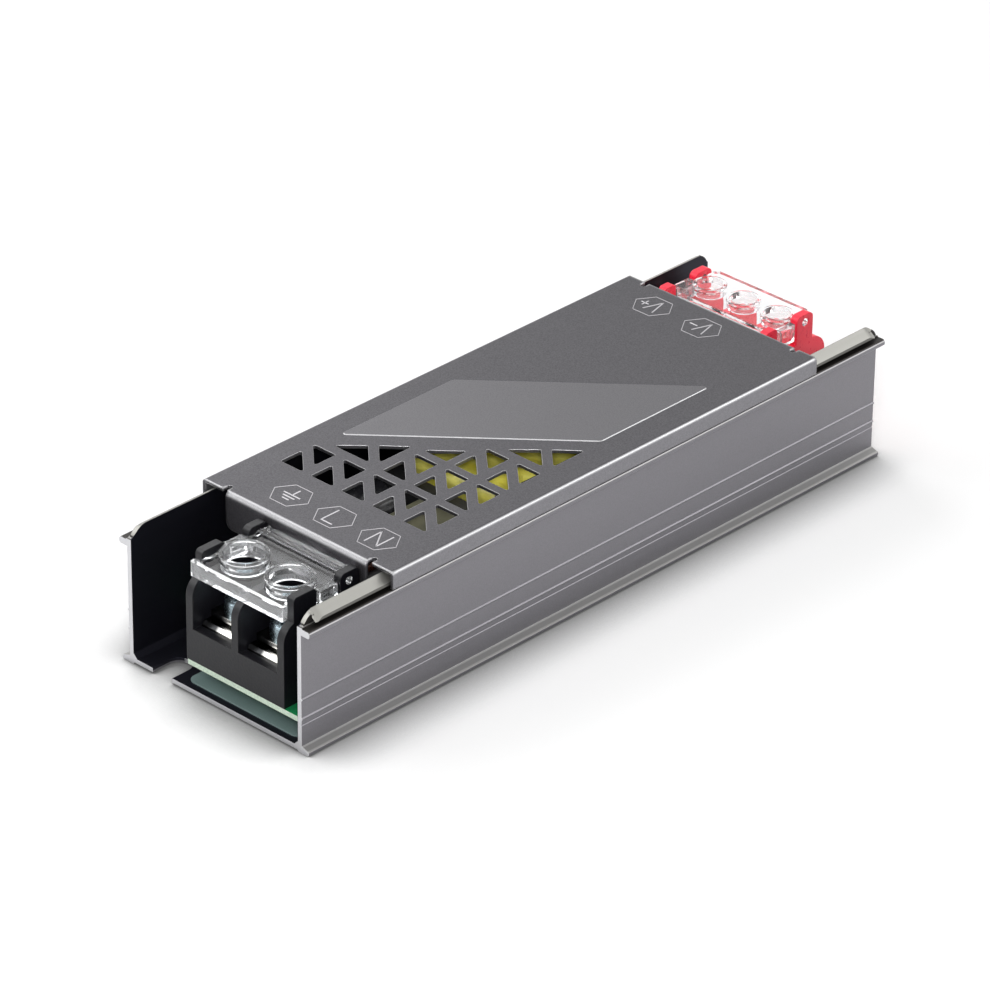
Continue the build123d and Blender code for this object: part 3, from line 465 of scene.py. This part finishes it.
# painted highlight: the marks get a lighter finish than the cover paint
painted_highlight_mark_finish = finish("pressed_mark_painted_light", (0.50, 0.49, 0.51), 0.35, metallic=0.6, grain=0.3, edge=0.0)
hexagon = [(-4.05, 0), (-2.0, 3.2), (2.0, 3.2), (4.05, 0), (2.0, -3.2), (-2.0, -3.2), (-4.05, 0)]
letter_l = [[(-1.2, 2.1), (-1.2, -2.1), (1.3, -2.1)]]
letter_n = [[(-1.4, -2.1), (-1.4, 2.1), (1.4, -2.1), (1.4, 2.1)]]
earth = [
    [(0, 2.1), (0, 0.2)], [(-1.9, 0.2), (1.9, 0.2)], [(-1.3, -0.6), (1.3, -0.6)], [(-0.7, -1.4), (0.7, -1.4)],
]
letter_v = [(-1.5, 1.85), (-0.5, -2.3), (0.9, 1.6)]
minus = [[(1.2, -0.15), (2.8, -0.15)]]
plus = minus + [[(2.0, -1.0), (2.0, 0.7)]]
right, up = Vector((1, 0, 0)), Vector((0, 1, 0))
for name, x, sign in (("mark_earth", -7.8, earth), ("mark_l", 2.76, letter_l), ("mark_n", 13.26, letter_n)):
    strokes(name, [hexagon, *sign], Vector((x * mm, input_mark_y, cover_sheet_top)), right, up)
for name, x, sign in (("mark_v_plus", -11.2, [letter_v, *plus]), ("mark_v_minus", 0.7, [letter_v, *minus])):
    strokes(name, [hexagon, *sign], Vector((x * mm, output_mark_y, cover_sheet_top)), -right, -up)


# Studio: a white floor and six soft lamps
def looked_at(tree):
    """1 for the rays of the camera, mirrors and glass, and 0 for those that light the object."""
    path = tree.nodes.new("ShaderNodeLightPath")
    either = maths(tree, "MAXIMUM", path.outputs["Is Camera Ray"], path.outputs["Is Transmission Ray"])
    return maths(tree, "MAXIMUM", either, path.outputs["Is Glossy Ray"])


def floor_paint():
    """White that shines a little where it is looked at, with a painted shadow close to the object."""
    material, tree, shader, place = start("white_floor")
    # painted shadow: ambient occlusion darkens the floor near the object
    close = tree.nodes.new("ShaderNodeAmbientOcclusion")
    close.samples = 16
    close.inputs["Distance"].default_value = close_shadow_reach
    shade = ranged(tree, close.outputs["AO"], close_shadow_shade, 1.0, 0.5, 0.96)
    tree.links.new(mixed(tree, shade, (0.0, 0.0, 0.0), floor_white), shader.inputs["Base Color"])
    shader.inputs["Roughness"].default_value = 0.9
    shader.inputs["Specular IOR Level"].default_value = 0.0
    glow = tree.nodes.new("ShaderNodeEmission")
    tree.links.new(maths(tree, "MULTIPLY", shade, floor_glow), glow.inputs["Strength"])
    blend = tree.nodes.new("ShaderNodeMixShader")
    tree.links.new(maths(tree, "MULTIPLY", looked_at(tree), floor_glow_share), blend.inputs[0])
    tree.links.new(shader.outputs["BSDF"], blend.inputs[1])
    tree.links.new(glow.outputs["Emission"], blend.inputs[2])
    tree.links.new(blend.outputs["Shader"], tree.nodes["Material Output"].inputs["Surface"])
    return material


corners = [(-floor_half, -floor_half, 0), (floor_half, -floor_half, 0), (floor_half, floor_half, 0),
           (-floor_half, floor_half, 0)]
floor_mesh = bpy.data.meshes.new("floor")
floor_mesh.from_pydata(corners, [], [(0, 1, 2, 3)])
floor_mesh.materials.append(floor_paint())
plane = bpy.data.objects.new("floor", floor_mesh)
bpy.context.scene.collection.objects.link(plane)


def soft_light(name, towards, distance, size, power):
    """A rectangular lamp that faces the object. Sizes in metres, power in watts."""
    lamp = bpy.data.lights.new(name, "AREA")
    lamp.shape = "RECTANGLE"
    lamp.size, lamp.size_y = size
    lamp.energy = power
    light = bpy.data.objects.new(name, lamp)
    bpy.context.scene.collection.objects.link(light)
    direction = Vector(towards).normalized()
    light.location = direction * distance
    light.rotation_mode = "QUATERNION"
    light.rotation_quaternion = (-direction).to_track_quat("-Z", "Y")


soft_light("key", (-0.60, -0.48, 0.64), 0.55, (0.35, 0.30), 0.95)
soft_light("back", (0.48, 0.64, 0.60), 1.0, (0.7, 0.35), 2.1)
soft_light("top", (-0.05, -0.1, 1.0), 1.1, (0.5, 0.5), 2.2)
soft_light("side", (-0.24, 0.13, 0.19), 0.33, (0.12, 0.12), 0.05)
soft_light("left", (-0.75, 0.20, 0.63), 1.0, (0.4, 0.4), 1.5)
soft_light("fill", (0.58, -0.62, 0.53), 1.0, (0.25, 0.25), 4.8)

world = bpy.data.worlds.new("studio")
bpy.context.scene.world = world
world.use_nodes = True
tree = world.node_tree
background = tree.nodes["Background"]
background.inputs["Color"].default_value = (1.0, 1.0, 1.0, 1.0)
tree.links.new(ranged(tree, looked_at(tree), world_light, 1.0, 0.0, 1.0), background.inputs["Strength"])


# Camera at the photograph's place
azimuth, elevation, roll = (math.radians(v) for v in (camera_azimuth, camera_elevation, camera_roll))
back = Vector((math.sin(azimuth) * math.cos(elevation), -math.cos(azimuth) * math.cos(elevation),
               math.sin(elevation)))
level = Vector((math.cos(azimuth), math.sin(azimuth), 0))
upright = back.cross(level)
rightward = level * math.cos(roll) + upright * math.sin(roll)
upward = upright * math.cos(roll) - level * math.sin(roll)
camera = bpy.data.objects.new("camera", bpy.data.cameras.new("camera"))
bpy.context.scene.collection.objects.link(camera)
camera.matrix_world = Matrix((
    (rightward.x, upward.x, back.x, 0),
    (rightward.y, upward.y, back.y, 0),
    (rightward.z, upward.z, back.z, 0),
    (0, 0, 0, 1),
))
camera.location = camera_aim + back * camera_distance
camera.data.lens = camera_lens
camera.data.sensor_width = 36.0
camera.data.clip_start, camera.data.clip_end = 0.05, 20.0
bpy.context.scene.camera = camera
bpy.context.scene.view_settings.view_transform = "Standard"
